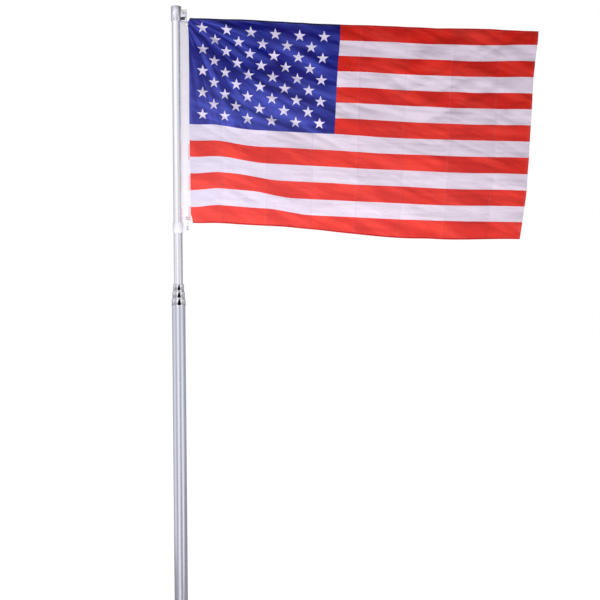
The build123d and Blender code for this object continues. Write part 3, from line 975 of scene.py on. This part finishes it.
def cloth_piece():
    # The hems, as shares of the cloth, end in a short slope
    hem_s, hem_g = fly_hem / sewn_fly, hem_width / sewn_hoist
    slope_s, slope_g = hem_s * 1.12, hem_g * 1.15
    columns = lines(cloth_columns, [1 - hem_s, 1 - slope_s])
    folds = [k / level_folds for k in range(1, level_folds)]
    rows = lines(cloth_rows, [*folds, hem_g, slope_g, 1 - hem_g, 1 - slope_g])
    middle = [[cloth_place(s, g) for s in columns] for g in rows]
    wide, high = len(columns), len(rows)
    work = bmesh.new()
    uv = work.loops.layers.uv.new("cut")
    edges = work.loops.layers.uv.new("edges")

    def place(side, j, i):
        right = middle[j][min(i + 1, wide - 1)] - middle[j][max(i - 1, 0)]
        down = middle[min(j + 1, high - 1)][i] - middle[max(j - 1, 0)][i]
        normal = right.cross(down).normalized()
        if normal.y < 0:
            normal.negate()
        in_hem = min(rows[j] / hem_g, (1 - rows[j]) / hem_g, (1 - columns[i]) / hem_s)
        half = hem_half if 0.02 <= in_hem <= 1.0001 else cloth_half
        return middle[j][i] + normal * side * half

    def face(*corners):
        made = work.faces.new([grid[j][i] for grid, i, j in corners])
        for loop, (_, i, j) in zip(made.loops, corners):
            loop[uv].uv = print_place(columns[i], rows[j])
            loop[edges].uv = (straight(columns[i], rows[j]), 1 - rows[j])

    front, back = two_layers(work, wide, high, place)
    for j in range(high - 1):
        for i in range(wide - 1):
            cell = [(i, j), (i, j + 1), (i + 1, j + 1), (i + 1, j)]
            face(*((front, *spot) for spot in cell))
            face(*((back, *spot) for spot in cell[::-1]))
    border = [(i, 0) for i in range(wide - 1)] + [(wide - 1, j) for j in range(high - 1)]
    border += [(i, high - 1) for i in range(wide - 1, 0, -1)] + [(0, j) for j in range(high - 1, 0, -1)]
    for spot, after in zip(border, border[1:] + border[:1]):
        face((front, *spot), (front, *after), (back, *after), (back, *spot))
    piece = piece_of(work, "flag_sheet", cloth_material)
    sharp_by_angle(piece.data, 60)
    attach(piece, swivel)
    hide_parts("flag_cloth")


cloth_piece()


# Studio
floor_from, floor_to = (-3, -1.2), (7, 15)
floor_level = -0.5 * mm
floor_dark, floor_light, floor_glow = (0.86, 0.86, 0.86, 1), (0.89, 0.89, 0.89, 1), 0.72
full_light, no_light = (1.0, 1.0, 1.0, 1.0), (0.0, 0.0, 0.0, 1.0)


def studio_floor():
    """A pale floor that keeps the object's shadow and reads white to the camera."""
    shader = Shader("studio_floor_paint", Roughness=0.9, Specular_IOR_Level=0.2)
    shader.colour(shader.mix(shader.noise(3, 2), floor_dark, floor_light))
    seen = shader.node("ShaderNodeLightPath", "Is Camera Ray")
    shader.put(shader.surface.inputs["Emission Color"], full_light)
    shader.put(shader.surface.inputs["Emission Strength"], shader.both(seen, floor_glow))
    mesh = bpy.data.meshes.new("studio_floor")
    (left, front), (right, back) = floor_from, floor_to
    corners = [(x, y, floor_level) for x, y in ((left, front), (right, front), (right, back), (left, back))]
    mesh.from_pydata(corners, [], [(0, 1, 2, 3)])
    mesh.materials.append(shader.material)
    add_object("studio_floor", mesh)


# What polished metal sees round the studio, as degrees of bearing from the camera and strengths:
# soft boxes and dark gaps level with the object and under it, and a broad box on the left above
level_boxes = [
    (-180, 0.45), (-135, 0.5), (-96, 0.85), (-76, 0.9), (-53, 0.45), (-35, 0.75), (-17, 1.3), (0, 0.9),
    (17, 0.42), (35, 0.8), (53, 1.2), (73, 0.8), (96, 0.45), (130, 0.45), (180, 0.45),
]
upper_boxes = [
    (-180, 0.4), (-127, 0.5), (-84, 0.72), (-53, 1.35), (-26, 1.2), (0, 0.96), (26, 0.86), (53, 0.5),
    (84, 0.18), (127, 0.36), (180, 0.4),
]
camera_bearing = radians(4.7)
# A dark stand beside the camera, under its height, with soft edges. Heights are sines
stand_bearing, stand_sides = radians(10), (radians(18), radians(30))
stand_foot, stand_top, stand_share = (-0.46, -0.38), (-0.222, -0.2), 0.985
boxes_meet, overhead, overhead_share = (-0.02, 0.12), (0.18, 0.5), 0.8
room_light, room_strength = (0.98, 0.96, 1.0, 1), 0.405


def studio_world():
    world = bpy.data.worlds.new("studio")
    bpy.context.scene.world = world
    nodes = Nodes(world)
    nodes.tree.nodes.clear()
    m, both, node = nodes.math, nodes.both, nodes.node

    def between(value, low, high):
        return nodes.ramp(value, low, high, interpolation_type="SMOOTHSTEP")

    def boxes(bearing, stops):
        light = node("ShaderNodeValToRGB", inputs={0: bearing})
        ramp = light.node.color_ramp
        ramp.interpolation = "EASE"
        for index, (degrees, strength) in enumerate(stops):
            place = (degrees + 180) / 360
            stop = ramp.elements[index] if index < 2 else ramp.elements.new(place)
            stop.position = place
            stop.color = (strength, strength, strength * 1.03, 1)
        return light

    x, y, height = nodes.split(node("ShaderNodeTexCoord", "Generated"))
    bearing = m("SUBTRACT", m("ARCTAN2", x, both(y, -1.0)), camera_bearing)
    share = nodes.ramp(bearing, -pi, pi)
    seen = nodes.mix(between(height, *boxes_meet), boxes(share, level_boxes), boxes(share, upper_boxes))
    aside = m("ABSOLUTE", m("SUBTRACT", bearing, stand_bearing))
    stand = both(nodes.rest(between(aside, *stand_sides)), nodes.rest(between(height, *stand_top)))
    stand = both(stand, between(height, *stand_foot))
    seen = nodes.mix(both(stand, stand_share), seen, no_light)
    # It is dim overhead
    seen = nodes.mix(both(between(height, *overhead), overhead_share), seen, no_light)
    glossy = node("ShaderNodeBackground", inputs={0: seen})
    plain = node("ShaderNodeBackground", inputs={0: room_light, 1: room_strength})
    backdrop = node("ShaderNodeBackground", inputs={0: full_light, 1: 1.0})
    mirrored = node("ShaderNodeLightPath", "Is Glossy Ray")
    seen_directly = node("ShaderNodeLightPath", "Is Camera Ray")
    lit = node("ShaderNodeMixShader", inputs={0: mirrored, 1: plain, 2: glossy})
    out = node("ShaderNodeMixShader", inputs={0: seen_directly, 1: lit, 2: backdrop})
    nodes.put(nodes.tree.nodes.new("ShaderNodeOutputWorld").inputs["Surface"], out)


def soft_box(name, place, target, size, power):
    data = bpy.data.lights.new(name, "AREA")
    data.shape = "RECTANGLE"
    data.size, data.size_y = size
    data.energy = power
    lamp = add_object(name, data)
    lamp.location = place
    lamp.rotation_euler = (Vector(target) - Vector(place)).to_track_quat("-Z", "Y").to_euler()
    lamp.visible_glossy = False


studio_floor()
studio_world()
soft_box("key_box", place=(0, -1.8, 0.1), target=(0.6, 0, 2.1), size=(1.2, 1.0), power=85)

# Camera, level with the middle of the photograph's frame
camera_distance = 6.3
frame_width = 2.556
frame_x, frame_z = 0.517, 1.624
camera_roll = radians(0.51)
film_width = 36
camera_data = bpy.data.cameras.new("camera")
camera_data.sensor_width = film_width
camera_data.lens = film_width * camera_distance / frame_width
camera = add_object("camera", camera_data)
camera.matrix_world = (
    Matrix.Translation((frame_x, -camera_distance, frame_z))
    @ Matrix.Rotation(pi / 2, 4, "X")
    @ Matrix.Rotation(-camera_roll, 4, "Z")
)
bpy.context.scene.camera = camera
bpy.context.scene.view_settings.view_transform = "Standard"
